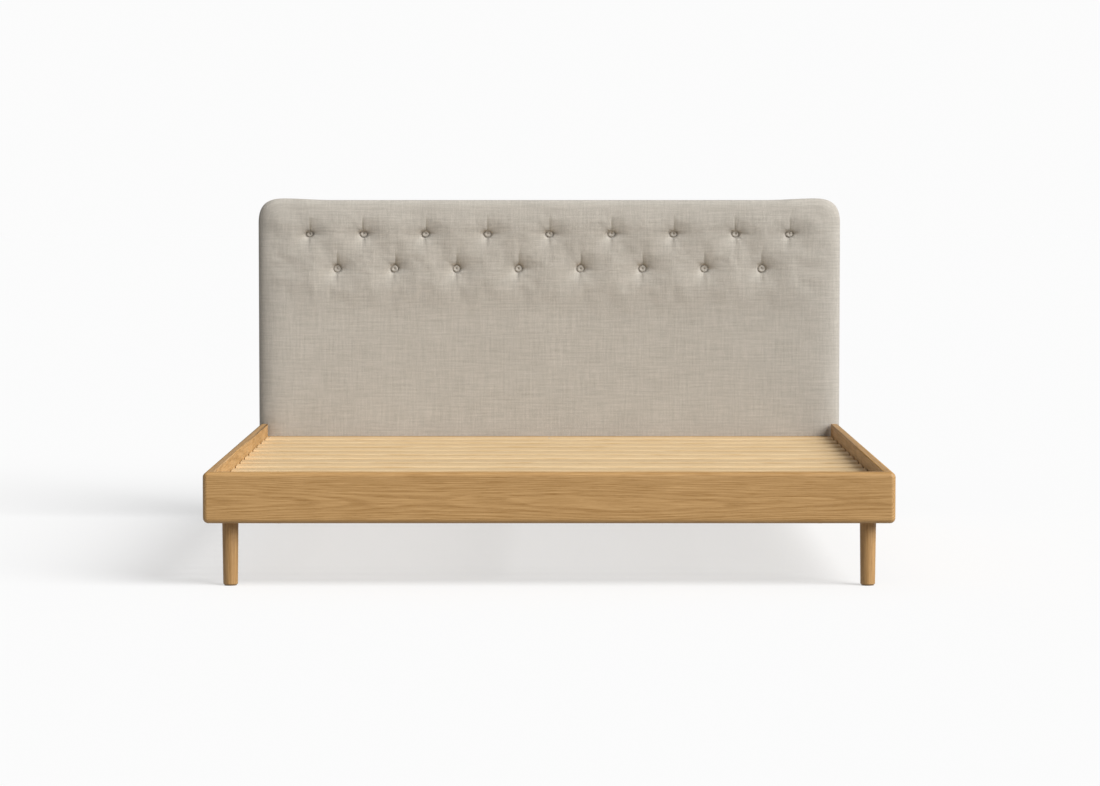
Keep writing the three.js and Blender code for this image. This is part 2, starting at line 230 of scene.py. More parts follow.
# ---- Material helpers ----
class Tree:
    """A material's node tree, with short calls for the nodes used here."""

    def __init__(self, name, roughness=0.5, metallic=0.0):
        self.material = bpy.data.materials.new(name)
        self.material.use_nodes = True
        self.tree = self.material.node_tree
        self.shader = self.tree.nodes["Principled BSDF"]
        self.shader.inputs["Roughness"].default_value = roughness
        self.shader.inputs["Metallic"].default_value = metallic

    def put(self, value, socket):
        if isinstance(value, bpy.types.NodeSocket):
            self.tree.links.new(value, socket)
        else:
            socket.default_value = value

    def node(self, kind, inputs=None, **settings):
        node = self.tree.nodes.new("ShaderNode" + kind)
        for key, value in settings.items():
            setattr(node, key, value)
        for key, value in (inputs or {}).items():
            self.put(value, node.inputs[key])
        return node

    def math(self, operation, a, b=0.0, clamp=False):
        node = self.node("Math", {0: a, 1: b}, operation=operation, use_clamp=clamp)
        return node.outputs[0]

    def add(self, *values):
        total = values[0]
        for value in values[1:]:
            total = self.math("ADD", total, value)
        return total

    def times(self, a, b):
        return self.math("MULTIPLY", a, b)

    def combine(self, x, y, z):
        return self.node("CombineXYZ", {0: x, 1: y, 2: z}).outputs[0]

    def stretch(self, vector, scale):
        return self.node("VectorMath", {0: vector, 1: scale}, operation="MULTIPLY").outputs[0]

    def noise(self, vector, scale, detail=2.0, roughness=0.5):
        """Noise over a vector stretched by scale, as a factor round 0.5."""
        node = self.node(
            "TexNoise",
            {"Vector": self.stretch(vector, scale), "Scale": 1.0, "Detail": detail, "Roughness": roughness},
        )
        return node.outputs["Fac"]

    def span(self, value, low, high, to_low=0.0, to_high=1.0):
        """The value's range from low to high, carried over to another range and held inside it."""
        node = self.node(
            "MapRange",
            {"Value": value, "From Min": low, "From Max": high, "To Min": to_low, "To Max": to_high},
        )
        return node.outputs["Result"]

    def ramp(self, value, stops):
        node = self.node("ValToRGB", {"Fac": value})
        elements = node.color_ramp.elements
        elements[0].position, elements[1].position = stops[0][0], stops[-1][0]
        for position, _ in stops[1:-1]:
            elements.new(position)
        for element, (_, level) in zip(elements, stops):
            element.color = (level, level, level, 1)
        return node.outputs["Color"]

    def mix(self, factor, a, b, blend="MIX"):
        node = self.node("Mix", data_type="RGBA", blend_type=blend)
        for value, socket in ((factor, node.inputs[0]), (a, node.inputs[6]), (b, node.inputs[7])):
            self.put(value, socket)
        return node.outputs[2]

    def shaded(self, colour, shade):
        """The colour, lighter or darker by a factor."""
        return self.mix(1.0, colour, self.combine(shade, shade, shade), "MULTIPLY")

    def finish(self, colour=None, roughness=None, height=None, bump=0.0, strength=1.0):
        if colour is not None:
            self.put(colour, self.shader.inputs["Base Color"])
        if roughness is not None:
            self.put(roughness, self.shader.inputs["Roughness"])
        if height is not None:
            node = self.node("Bump", {"Height": height, "Distance": bump, "Strength": strength})
            self.put(node.outputs["Normal"], self.shader.inputs["Normal"])
        return self.material


def rgb(red, green, blue):
    return (red, green, blue, 1)


# Which of x, y and z run along the grain, across the board's face and into it.
GRAIN_X = (0, 2, 1)
GRAIN_X_FLAT = (0, 1, 2)
GRAIN_Y = (1, 2, 0)
GRAIN_Z = (2, 0, 1)


def wood(name, grain, pale, dark, pith=(0.02, 0.075), ring=0.0042, rings=0.5, pores=1.0, vary=0.0,
         roughness=0.5):
    """Sawn wood cut out of a log: growth rings about a pith, fibres, streaks and open pores.

    pith is the log's centre off the board, across its face and behind it. rings is how strongly the
    growth rings show, and vary how far each piece's tone may differ.
    """
    t = Tree(name, roughness)
    axes = t.node("SeparateXYZ", {0: t.node("TexCoord").outputs["Object"]}).outputs
    chance = t.node("ObjectInfo").outputs["Random"]
    along = t.add(axes[grain[0]], t.times(chance, 7.3))
    across, deep = axes[grain[1]], axes[grain[2]]
    place_in_log = t.combine(along, across, deep)

    wander = t.noise(place_in_log, (0.8, 5.0, 5.0), detail=2.0)
    ripple = t.noise(place_in_log, (7.0, 26.0, 26.0), detail=2.0)
    side, behind = t.add(across, pith[0]), t.add(deep, pith[1])
    radius = t.math("SQRT", t.add(t.times(side, side), t.times(behind, behind)))
    radius = t.add(radius, t.times(wander, 0.055), t.times(ripple, 0.0035))
    year = t.math("FRACT", t.math("DIVIDE", radius, ring))
    early = t.ramp(year, [(0.0, 0.85), (0.16, 1.0), (0.45, 0.25), (0.85, 0.0), (1.0, 0.85)])

    streak = t.noise(place_in_log, (5.5, 260.0, 260.0), detail=4.0, roughness=0.65)
    broad = t.noise(place_in_log, (1.6, 30.0, 30.0), detail=2.0)
    fleck = t.noise(place_in_log, (12.0, 400.0, 400.0), detail=2.0, roughness=0.6)
    fibre = t.noise(place_in_log, (26.0, 1100.0, 1100.0), detail=2.0)
    pore = t.span(t.noise(place_in_log, (75.0, 1900.0, 1900.0), detail=1.0), 0.60, 0.70)
    pore = t.times(t.times(pore, t.span(early, 0.0, 1.0, 0.25, 1.0)), pores)

    tone = t.add(
        t.times(early, 0.36 * rings),
        t.span(streak, 0.30, 0.70, 0.0, 0.48),
        t.span(broad, 0.30, 0.70, 0.0, 0.14),
        t.span(fleck, 0.56, 0.74, 0.0, 0.52),
    )
    tone = t.math("SUBTRACT", tone, t.span(fleck, 0.44, 0.28, 0.0, 0.36))
    tone = t.math("ADD", tone, t.span(fibre, 0.25, 0.75, -0.08, 0.10), clamp=True)
    colour = t.mix(tone, rgb(*pale), rgb(*dark))
    colour = t.mix(t.times(pore, 0.42), colour, rgb(*(0.35 * level for level in dark)))
    if vary:
        colour = t.shaded(colour, t.span(chance, 0.0, 1.0, 1 - vary, 1 + vary))

    height = t.math("SUBTRACT", t.times(fibre, 0.25), pore)
    gloss = t.span(streak, 0.3, 0.7, roughness - 0.05, roughness + 0.07)
    return t.finish(colour, gloss, height, bump=0.00016, strength=0.6)


def cloth(name, light, dark, pitch=0.0011, mottle=0.05, sheen=0.12):
    """A plain weave with uneven yarns, laid out by the vector of metres that store_weave() keeps.

    pitch is the yarns' spacing, and mottle how far the tone drifts from place to place.
    """
    t = Tree(name, roughness=0.92)
    t.shader.inputs["Sheen Weight"].default_value = sheen
    t.shader.inputs["Sheen Roughness"].default_value = 0.45
    t.shader.inputs["Specular IOR Level"].default_value = 0.25
    laid = t.node("Attribute", attribute_name="weave").outputs["Vector"]
    across, up, _ = t.node("SeparateXYZ", {0: laid}).outputs
    warp = t.math("DIVIDE", across, pitch)
    weft = t.math("DIVIDE", up, pitch)
    over = t.math("PINGPONG", t.add(t.math("FLOOR", warp), t.math("FLOOR", weft)), 1.0)
    warp_height = t.math("SINE", t.times(t.math("FRACT", warp), math.pi))
    weft_height = t.math("SINE", t.times(t.math("FRACT", weft), math.pi))
    height = t.node("Mix", {0: over, 2: warp_height, 3: weft_height}, data_type="FLOAT").outputs[0]

    # Each yarn has a tone of its own, which changes along it.
    along_warp = t.combine(t.math("FLOOR", warp), t.times(up, 45.0), 0.0)
    along_weft = t.combine(t.times(across, 45.0), t.math("FLOOR", weft), 7.0)
    warp_yarn = t.noise(along_warp, (0.9, 1, 1))
    weft_yarn = t.noise(along_weft, (1, 0.9, 1))
    yarn = t.node("Mix", {0: over, 2: warp_yarn, 3: weft_yarn}, data_type="FLOAT").outputs[0]

    slub_across = t.noise(laid, (9.0, 170.0, 1.0), detail=3.0, roughness=0.65)
    slub_up = t.noise(laid, (170.0, 9.0, 1.0), detail=3.0, roughness=0.65)
    slub = t.add(t.times(slub_across, 0.55), t.times(slub_up, 0.45))
    cloud = t.noise(laid, (5.0, 5.0, 1.0), detail=3.0)

    tone = t.add(t.span(slub, 0.36, 0.64, 0.0, 0.55), t.span(yarn, 0.3, 0.7, -0.05, 0.35))
    tone = t.math("ADD", tone, t.span(cloud, 0.3, 0.7, -mottle, mottle), clamp=True)
    # Painted shade: where the weave lies low, in the hollows between the yarns, the colour is darkened.
    gap = t.span(height, 0.0, 0.7, 0.72, 1.0)
    colour = t.shaded(t.mix(tone, rgb(*dark), rgb(*light)), gap)
    relief = t.add(height, t.times(slub, 1.2))
    return t.finish(colour, None, relief, bump=0.00028, strength=0.7)


def felt_cloth(name, colour):
    """Pressed fibres with no weave."""
    t = Tree(name, roughness=0.98)
    t.shader.inputs["Sheen Weight"].default_value = 0.3
    where = t.node("TexCoord").outputs["Object"]
    fibre = t.noise(where, (900.0, 900.0, 900.0), detail=4.0, roughness=0.7)
    patch = t.noise(where, (9.0, 9.0, 9.0), detail=2.0)
    shade = t.add(t.span(fibre, 0.3, 0.7, 0.72, 1.15), t.span(patch, 0.3, 0.7, -0.08, 0.08))
    return t.finish(t.shaded(rgb(*colour), shade), None, fibre, bump=0.0003, strength=0.8)


def metal(name, colour, roughness, metallic=1.0, grime=0.12, grain=(60.0, 60.0, 60.0)):
    """Plated or painted steel, with patchy gloss and faint rolling marks."""
    t = Tree(name, roughness, metallic)
    where = t.node("TexCoord").outputs["Object"]
    patch = t.noise(where, (14.0, 14.0, 14.0), detail=4.0, roughness=0.65)
    mark = t.noise(where, grain, detail=3.0, roughness=0.6)
    shade = t.span(patch, 0.3, 0.7, 1 - grime, 1 + grime)
    gloss = t.add(
        t.span(patch, 0.3, 0.7, roughness - 0.08, roughness + 0.1),
        t.span(mark, 0.3, 0.7, -0.05, 0.05),
    )
    return t.finish(t.shaded(rgb(*colour), shade), gloss, mark, bump=0.00012, strength=0.35)


# ---- Materials ----
OAK_PALE, OAK_DARK = (0.560, 0.334, 0.134), (0.300, 0.152, 0.036)
# The legs' oak is painted a little darker than the rails' oak, as painted shade for the shadow under the
# bed frame.
SHADED_LEG_OAK_PALE, SHADED_LEG_OAK_DARK = (0.515, 0.300, 0.116), (0.262, 0.130, 0.031)
PINE_PALE, PINE_DARK = (0.740, 0.560, 0.330), (0.560, 0.370, 0.175)
PLY_PALE, PLY_DARK = (0.600, 0.430, 0.250), (0.460, 0.300, 0.150)

oak_front = wood("oak_front_rail", GRAIN_X, OAK_PALE, OAK_DARK, pith=(-0.250, 1.13), rings=1.0)
oak_side = wood("oak_side_rail", GRAIN_Y, OAK_PALE, OAK_DARK, pith=(-0.25, 0.06), rings=0.9)
# The legs take the darker oak, whose painted shade stands in for the shadow under the bed frame.
oak_leg_painted_shade = wood("oak_leg_painted_shade", GRAIN_Z, SHADED_LEG_OAK_PALE, SHADED_LEG_OAK_DARK, pith=(0.10, 0.05), rings=0.6)
oak_head = wood("oak_head_rail", GRAIN_X, OAK_PALE, OAK_DARK, pith=(-0.24, -0.90))
pine_slat = wood("pine_slat", GRAIN_X_FLAT, PINE_PALE, PINE_DARK, pith=(0.03, -0.23), ring=0.0055,
                 rings=1.1, pores=0.1, vary=0.07, roughness=0.62)
pine_ledge = wood("pine_ledge", GRAIN_Y, PINE_PALE, PINE_DARK, pith=(-0.26, 0.05), ring=0.005,
                  rings=1.0, pores=0.1, roughness=0.62)
pine_block = wood("pine_block", GRAIN_Z, PINE_PALE, PINE_DARK, pith=(0.02, 0.03), ring=0.005,
                  rings=1.0, pores=0.1, vary=0.06, roughness=0.65)
ply = wood("plywood", GRAIN_X, PLY_PALE, PLY_DARK, ring=0.0016, rings=0.8, pores=0.2, roughness=0.7)
linen = cloth("linen", (0.610, 0.568, 0.504), (0.395, 0.365, 0.318))
webbing = cloth("webbing", (0.78, 0.76, 0.70), (0.60, 0.57, 0.50), pitch=0.0015, mottle=0.02,
                sheen=0.1)
lining = cloth("lining", (0.085, 0.080, 0.074), (0.040, 0.037, 0.034), pitch=0.0006, mottle=0.03,
               sheen=0.2)
felt = felt_cloth("felt", (0.230, 0.165, 0.105))
zinc = metal("zinc_steel", (0.52, 0.535, 0.54), 0.36, grain=(35.0, 240.0, 240.0))
black_steel = metal("painted_steel", (0.028, 0.029, 0.031), 0.5, metallic=0.0, grime=0.2,
                    grain=(300.0, 300.0, 300.0))


# ---- Oak rails and legs ----
def box_of(node):
    """A CAD node's lowest and highest corners, as two arrays."""
    low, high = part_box(node)
    return np.array(low, float), np.array(high, float)


def front_rail():
    low, high = box_of("front_rail")
    outline, normals = rounded_loop(low[0], low[2], high[0], high[2], [RAIL_CORNER] * 4, 10)
    face, inner = low[1] + RAIL_FACE_EDGE, high[1] - RAIL_INNER_EDGE
    stations = [(face - run, inset) for run, inset in quarter_round(RAIL_FACE_EDGE, 8)[::-1]]
    stations += [(inner + run, inset) for run, inset in quarter_round(RAIL_INNER_EDGE, 4)]
    verts, faces = loft([at_depth(outline - normals * inset, y) for y, inset in stations])
    piece = mesh_object("oak_front_rail", verts, faces, oak_front)
    keep_flats_flat(piece)
    return place(piece, "oak", "front_rail")


def side_rail(side):
    name = f"side_rail_{side}"
    low, high = box_of(name)
    outer, inner = RAIL_CORNER, RAIL_INNER_EDGE
    radii = [outer, inner, inner, outer] if side == "left" else [inner, outer, outer, inner]
    outline, _ = rounded_loop(low[0], low[2], high[0], high[2], radii, 10)
    verts, faces = loft([at_depth(outline, y) for y in (low[1], high[1])])
    piece = mesh_object(f"oak_{name}", verts, faces, oak_side)
    keep_flats_flat(piece)
    return place(piece, "oak", name)


def leg(corner):
    name = f"leg_{corner}"
    low, high = box_of(name)
    top_radius = (high[0] - low[0]) / 2
    flat_radius = top_radius - LEG_TAPER - FOOT_EDGE
    profile = [(0, low[2])]
    profile += [(flat_radius + run, low[2] + rise) for run, rise in quarter_round(FOOT_EDGE, 6)]
    profile += [(top_radius, high[2]), (0, high[2])]
    verts, faces = revolve(profile, 64)
    verts[:, :2] += (low[:2] + high[:2]) / 2
    piece = mesh_object(f"oak_{name}", verts, faces, oak_leg_painted_shade)
    keep_flats_flat(piece)
    return place(piece, "oak", name)


corners = ["front_left", "front_right", "rear_left", "rear_right"]
front_rail()
for side in ("left", "right"):
    side_rail(side)
for corner in corners:
    leg(corner)


# ---- CAD nodes that keep their shape and get a finish ----
def finish_node(name, material):
    piece = nodes[name]
    piece.data.materials.clear()
    piece.data.materials.append(material)


finish_node("head_rail", oak_head)
for corner in corners:
    finish_node(f"corner_block_{corner}", pine_block)
    finish_node(f"corner_plate_{corner}", zinc)
    finish_node(f"felt_pad_{corner}", felt)
for side in ("left", "right"):
    finish_node(f"slat_ledge_{side}", pine_ledge)
    finish_node(f"headboard_stile_{side}", pine_block)
for end in ("front", "rear"):
    finish_node(f"midbeam_hanger_{end}", zinc)
finish_node("midbeam", black_steel)
finish_node("headboard_core", ply)
finish_node("headboard_ring", ply)
slats = sorted(name for name in nodes if name.startswith("slat_") and name[5:].isdigit())
for name in slats:
    finish_node(name, pine_slat)


# ---- Headboard cover ----
pad_low, pad_high = box_of("headboard_pad")
half_width = pad_high[0]
base_z, top_z = pad_low[2], pad_high[2]
face_y, back_y = pad_low[1], pad_high[1]
buttons = {
    name: (box_of(name)[0] + box_of(name)[1]) / 2 for name in nodes if name.startswith("button_")
}


def smooth(value, low, high):
    t = np.clip((value - low) / (high - low), 0, 1)
    return t * t * (3 - 2 * t)


def spaced(start, stop, step):
    return np.linspace(start, stop, max(2, round(abs(stop - start) / step) + 1))


def graded(start, stop, places, near, fine=FINE_CLOTH, coarse=COARSE_CLOTH):
    """Lines from start to stop, close together near the places given and wider apart elsewhere."""
    line = np.linspace(start, stop, 4000)
    gap = np.min(np.abs(line[:, None] - np.array(places)[None, :]), axis=1)
    step = fine + (coarse - fine) * smooth(gap, near, 2 * near)
    count = np.concatenate([[0.0], np.cumsum(np.diff(line) / step[1:])])
    return np.interp(np.linspace(0, count[-1], round(count[-1]) + 1), count, line)


def with_folds(lines, places):
    """Adds lines on both sides of each fold, in place of the lines nearest to it."""
    steps = np.array([-2.2, -1.2, -0.5, 0.5, 1.2, 2.2]) * FOLD_WIDTH
    gap = np.min(np.abs(lines[:, None] - np.array(places)[None, :]), axis=1)
    kept = lines[gap > 3.2 * FOLD_WIDTH]
    return np.sort(np.concatenate([kept] + [place + steps for place in places]))


def corner_power(radius):
    """The power of the superellipse, as wide as the crown, that passes where a round corner would."""
    diagonal = PAD_CROWN - radius * (1 - math.sqrt(0.5))
    return math.log(2) / math.log(PAD_CROWN / diagonal)


POWERS = {1: corner_power(PAD_TOP_CORNER), -1: corner_power(PAD_BOTTOM_CORNER)}


def corner_zone(x, z, side, level):
    """Distances past the start of a corner, as shares of the crown's width."""
    centre_z = top_z - PAD_CROWN if level > 0 else base_z + PAD_CROWN
    return (x * side - half_width + PAD_CROWN) / PAD_CROWN, (z - centre_z) * level / PAD_CROWN


def corner_map(x, z):
    """Squeezes the rectangle's square corners into round ones, keeping the distance to the edge."""
    out_x, out_z = x.copy(), z.copy()
    for side in (-1, 1):
        for level, power in POWERS.items():
            across, up = corner_zone(x, z, side, level)
            inside = (across > 0) & (up > 0)
            across, up = across[inside], up[inside]
            squeeze = np.maximum(across, up) / (across**power + up**power) ** (1 / power)
            out_x[inside] = side * (half_width - PAD_CROWN * (1 - across * squeeze))
            reach = PAD_CROWN * (1 - up * squeeze)
            out_z[inside] = top_z - reach if level > 0 else base_z + reach
    return out_x, out_z


def groove(dx, dz, angle, length, depth, clockwise, other):
    """A creased fold running away from a button, fading along its length.

    clockwise and other are how wide the fold's two walls are.
    """
    along = dx * math.cos(angle) + dz * math.sin(angle)
    aside = -dx * math.sin(angle) + dz * math.cos(angle)
    facing = along / np.maximum(np.hypot(along, aside), 1e-6)
    fade = np.clip(1 - along / length, 0, 1) ** 1.2 * smooth(facing, 0.0, 0.8)
    widening = 1 + 0.5 * np.clip(along / length, 0, 1)
    wall = np.where(aside < 0, clockwise, other) * widening
    return depth * fade * np.exp(-np.abs(aside) / wall)


# How strongly the cloth is drawn in round a button, clockwise from the fold above it: slack on the
# upper left, where it folds over, and tight on the upper right, which it folds over.
PULL_TURN = (0, 93, 125, 165, 195, 230, 325, 360)
PULL_SHARE = (0.78, 0.92, 0.68, 0.62, 0.88, 0.86, 0.30, 0.22)
EVEN_SHARE = 0.65


def pull_share(turn, distance):
    """The cloth's tightness in a direction, evening out with the distance to the button."""
    share = np.interp(np.degrees(turn), PULL_TURN, PULL_SHARE)
    return share + (EVEN_SHARE - share) * smooth(distance, 0.016, 0.074)


# The folds at a button: one sharp fold above it, a soft one below, and slanting ones between.
MAIN_FOLD = dict(length=0.064, depth=0.0095, clockwise=0.0055, other=FOLD_WIDTH / 10)
LOWER_FOLD = dict(length=0.045, depth=0.0030, clockwise=0.0100, other=0.0030)
LOWER_SLANT = dict(length=0.105, depth=0.0018, clockwise=0.0100, other=0.0080)
UPPER_SLANT = dict(length=0.090, depth=0.0014, clockwise=0.0100, other=0.0080)
SLANT = 0.80
UP, DOWN = math.pi / 2, -math.pi / 2
WRINKLES = 5  # short creases in chance directions
WRINKLE_WIDTH = 0.0028


def tuft_depth(x, z):
    """How far the cover is pulled in at its buttons."""
    depth = np.zeros_like(x)
    full = TUFT_PULL * 0.5 * math.log1p((TUFT_REACH / TUFT_HOLE) ** 2)
    for number, centre in enumerate(buttons.values()):
        luck = np.random.default_rng(number)
        dx, dz = x - centre[0], z - centre[2]
        distance = np.hypot(dx, dz)
        held = np.maximum(distance, TUFT_HOLE)
        angle = np.arctan2(dz, dx)
        share = pull_share(np.mod(math.pi / 2 - angle, 2 * math.pi), distance)
        share = share * (1 + 0.04 * np.cos(3 * angle + luck.uniform(-0.5, 0.5)))
        pull = share * TUFT_PULL * 0.5 * np.log1p((TUFT_REACH / held) ** 2)
        lip = (1 - share) * full * np.exp(-(held - TUFT_HOLE) / 0.0036)
        crevice = CREVICE * np.exp(-(held - TUFT_HOLE) / 0.0020)
        folds = groove(dx, dz, UP, **MAIN_FOLD) + groove(dx, dz, DOWN, **LOWER_FOLD)
        for lean in (-SLANT, SLANT):
            folds += groove(dx, dz, DOWN + lean + luck.normal(0, 0.06), **LOWER_SLANT)
            folds += groove(dx, dz, UP + lean + luck.normal(0, 0.06), **UPPER_SLANT)
        for _ in range(WRINKLES):
            towards, length = luck.uniform(0, 2 * math.pi), luck.uniform(0.022, 0.038)
            wrinkle_depth = luck.uniform(0.0008, 0.0020)
            folds += groove(dx, dz, towards, length, wrinkle_depth, WRINKLE_WIDTH, WRINKLE_WIDTH)
        depth += pull + lip + crevice + folds * smooth(distance, 0.0110, 0.0150)
    band = smooth(z, 0.70, 0.86) * (1 - smooth(z, 1.02, 1.12)) * (1 - smooth(np.abs(x), 0.80, 0.98))
    return depth - TUFT_LEVEL * band


def fold_over(x, z):
    """How the cloth shifts round each button, across the face.

    The fold above the button laps over itself and leans its own way, and the cloth above hangs over
    the button's top.
    """
    shift_x, shift_z = np.zeros_like(x), np.zeros_like(z)
    upper_row = max(p[2] for p in buttons.values()) - 0.01
    for centre in buttons.values():
        dx, dz = x - centre[0], z - centre[2]
        above = smooth(dz, 0.006, 0.014) * (1 - smooth(dz, 0.050, 0.074))
        shift_x -= np.sign(dx) * 1.6 * FOLD_WIDTH * np.exp(-np.abs(dx) / FOLD_WIDTH) * above
        near = np.exp(-(dx**2 + dz**2) / 0.045**2)
        shift_x += near * (rng.normal(0, 0.07) * dz + rng.normal(0, 1.2) * dz * np.abs(dz))
        distance = np.maximum(np.hypot(dx, dz), 1e-6)
        if centre[2] > upper_row:
            hood = HOOD_UPPER * smooth(distance, TUFT_HOLE, 0.016) * (1 - smooth(distance, 0.018, 0.052))
        else:
            hood = HOOD_LOWER * (1 - smooth(distance, 0.015, 0.032))
        hood = hood * np.clip(dz / distance, 0, 1)
        shift_x -= hood * dx / distance
        shift_z -= hood * dz / distance
    return shift_x, shift_z


def settled_cloth():
    """Lets the cover settle as cloth between its buttons, over stuffing that pushes it outwards.

    Returns a function of x and z: how far the cloth has moved along Y.
    """
    xs = spaced(-half_width + SETTLE_BORDER, half_width - SETTLE_BORDER, SETTLE_STEP)
    zs = spaced(SETTLE_FROM, top_z - SETTLE_BORDER, SETTLE_STEP)
    x, z = np.meshgrid(xs, zs)
    start = np.stack([x, face_y + tuft_depth(x, z), z], axis=2).reshape(-1, 3)
    index = np.arange(x.size).reshape(x.shape)
    cloth_piece = mesh_object("settling", start, grid_faces(index), linen)

    gap = np.min([np.hypot(x - p[0], z - p[2]) for p in buttons.values()], axis=0)
    held = gap < TUFT_HOLE + SETTLE_STEP
    held[0], held[-1], held[:, 0], held[:, -1] = True, True, True, True
    pins = cloth_piece.vertex_groups.new(name="held")
    pins.add(index[held].tolist(), 1.0, "REPLACE")
    pins.add(index[~held].tolist(), SETTLE_GRIP, "REPLACE")

    cloth_modifier = cloth_piece.modifiers.new("cloth", "CLOTH")
    settings = cloth_modifier.settings
    settings.quality = 6
    settings.mass = 0.0004
    settings.tension_stiffness = settings.compression_stiffness = 20.0
    settings.shear_stiffness = 5.0
    settings.bending_stiffness = 6.0
    settings.vertex_group_mass = "held"
    settings.pin_stiffness = 1.0
    settings.shrink_min = -SETTLE_SLACK
    cloth_modifier.collision_settings.use_collision = False
    scene = bpy.context.scene
    gravity = scene.gravity.copy()
    scene.gravity = (0.0, -SETTLE_PUSH, 0.0)
    for number in range(1, SETTLE_FRAMES + 1):
        scene.frame_set(number)
    settled = cloth_piece.evaluated_get(bpy.context.evaluated_depsgraph_get())
    moved = np.zeros(3 * x.size, np.float32)
    settled.to_mesh().vertices.foreach_get("co", moved)
    settled.to_mesh_clear()
    scene.frame_set(1)
    scene.gravity = gravity
    bpy.data.meshes.remove(cloth_piece.data)

    move = (moved.reshape(-1, 3)[:, 1] - start[:, 1]).reshape(x.shape)
    move = SETTLE_LIMIT * np.tanh(move / SETTLE_LIMIT)
    move *= smooth(gap, 0.018, 0.045) * smooth(z, 0.68, 0.84)

    def movement(at_x, at_z):
        column = np.clip((at_x - xs[0]) / (xs[1] - xs[0]), 0, len(xs) - 1.001)
        row = np.clip((at_z - zs[0]) / (zs[1] - zs[0]), 0, len(zs) - 1.001)
        i, j = row.astype(int), column.astype(int)
        up, along = row - i, column - j
        low = move[i, j] * (1 - along) + move[i, j + 1] * along
        high = move[i + 1, j] * (1 - along) + move[i + 1, j + 1] * along
        return low * (1 - up) + high * up

    return movement


def slow_waves(x, z):
    """Faint unevenness of the stuffing, gone where the rails press on the cover."""
    wave = sum(
        size * np.sin(fx * x + fz * z + phase)
        for size, fx, fz, phase in zip(
            (0.0007, 0.0006, 0.0005, 0.0004),
            rng.uniform(4, 16, 4),
            rng.uniform(-14, 14, 4),
            rng.uniform(0, 6.28, 4),
        )
    )
    return wave * smooth(z, 0.36, 0.50)


def top_dip(x, z):
    """The top edge stands a little higher at its corners."""
    return -PAD_TOP_DIP * (1 - smooth(np.abs(x), 0.76, 0.935)) * smooth(z, top_z - 0.10, top_z)


def face_lines():
    """The grid lines of the headboard's face, closest together at the buttons and their folds."""
    insets = PAD_CROWN * (1 - np.cos(np.linspace(0, math.pi / 2, 17)))[:9]
    inner, insets = insets[-1], insets[:-1]
    button_xs = [p[0] for p in buttons.values()]
    button_zs = sorted({round(p[2], 4) for p in buttons.values()})
    crease_zs = [z + rise for z in button_zs for rise in (0.0, 0.03)]
    flat_x = graded(-half_width + inner, half_width - inner, button_xs, 0.017)
    flat_x = with_folds(flat_x, button_xs)
    flat_z = graded(base_z + inner, top_z - inner, crease_zs, 0.017, coarse=0.0115)
    xs = np.concatenate([-half_width + insets, flat_x, (half_width - insets)[::-1]])
    zs = np.concatenate([base_z + insets, flat_z, (top_z - insets)[::-1]])
    return xs, zs


def crown_fall(x, z, inset):
    """How far the face has rounded off, boxier along the straight runs of its top and its sides."""
    near_side = smooth(np.abs(x), half_width - 0.11, half_width - 0.07)
    near_top = smooth(z, top_z - 0.11, top_z - 0.07)
    clear_of_sides = 1 - smooth(np.abs(x), half_width - 0.18, half_width - 0.10)
    clear_of_top = 1 - smooth(z, top_z - 0.18, top_z - 0.10)
    clear_of_base = smooth(z, base_z + 0.10, base_z + 0.18)
    power = 2 + (PAD_TOP_POWER - 2) * near_top * clear_of_sides
    power += (PAD_SIDE_POWER - 2) * near_side * clear_of_top * clear_of_base
    run = np.clip(1 - inset / PAD_CROWN, 0, 1)
    return PAD_CROWN_DEPTH * (1 - (1 - run**power) ** (1 / power))


def cover_face(xs, zs):
    """The points of the headboard's face."""
    grid_x, grid_z = np.meshgrid(xs, zs)
    inset = np.minimum.reduce([half_width - np.abs(grid_x), top_z - grid_z, grid_z - base_z])
    x, z = corner_map(grid_x, grid_z)
    z = z + top_dip(grid_x, grid_z)
    calm = smooth(inset, 0.0, 0.060)
    y = face_y + crown_fall(grid_x, grid_z, inset)
    y += (tuft_depth(x, z) + slow_waves(x, z)) * calm + settled_cloth()(x, z)
    shift_x, shift_z = fold_over(x, z)
    return np.stack([x + shift_x, y, z + shift_z], axis=2).reshape(-1, 3)


def flat_lines(lines, low, high):
    """Where lines lie on the flat cloth, whose crown is longer than it looks from the front."""
    fine = np.linspace(low, high, 4000)
    share = np.clip(1 - np.minimum(fine - low, high - fine) / PAD_CROWN, 0, 1)
    back = PAD_CROWN_DEPTH * (1 - np.sqrt(1 - share**2))
    length = np.concatenate([[0.0], np.cumsum(np.hypot(np.diff(fine), np.diff(back)))])
    return low + np.interp(lines, fine, length)


def rim_normals(edge, rim_x, rim_z):
    """The directions out of the headboard's outline.

    edge holds the outline's points, and rim_x and rim_z their places before the corners were rounded.
    """
    normal = np.zeros((len(edge), 2))
    in_corner = np.zeros(len(edge), bool)
    for side in (-1, 1):
        for level, power in POWERS.items():
            across, up = corner_zone(edge[:, 0], edge[:, 1], side, level)
            here = (across > 1e-6) & (up > 1e-6)
            slope_x = side * across[here] ** (power - 1)
            slope_z = level * up[here] ** (power - 1)
            normal[here] = np.stack([slope_x, slope_z], axis=1) / np.hypot(slope_x, slope_z)[:, None]
            in_corner |= here
    on_side = ~in_corner & (np.abs(rim_x) > half_width - 1e-6)
    normal[on_side, 0] = np.sign(rim_x[on_side])
    on_level = ~in_corner & ~on_side
    normal[on_level, 1] = np.where(rim_z[on_level] > (base_z + top_z) / 2, 1, -1)
    return normal


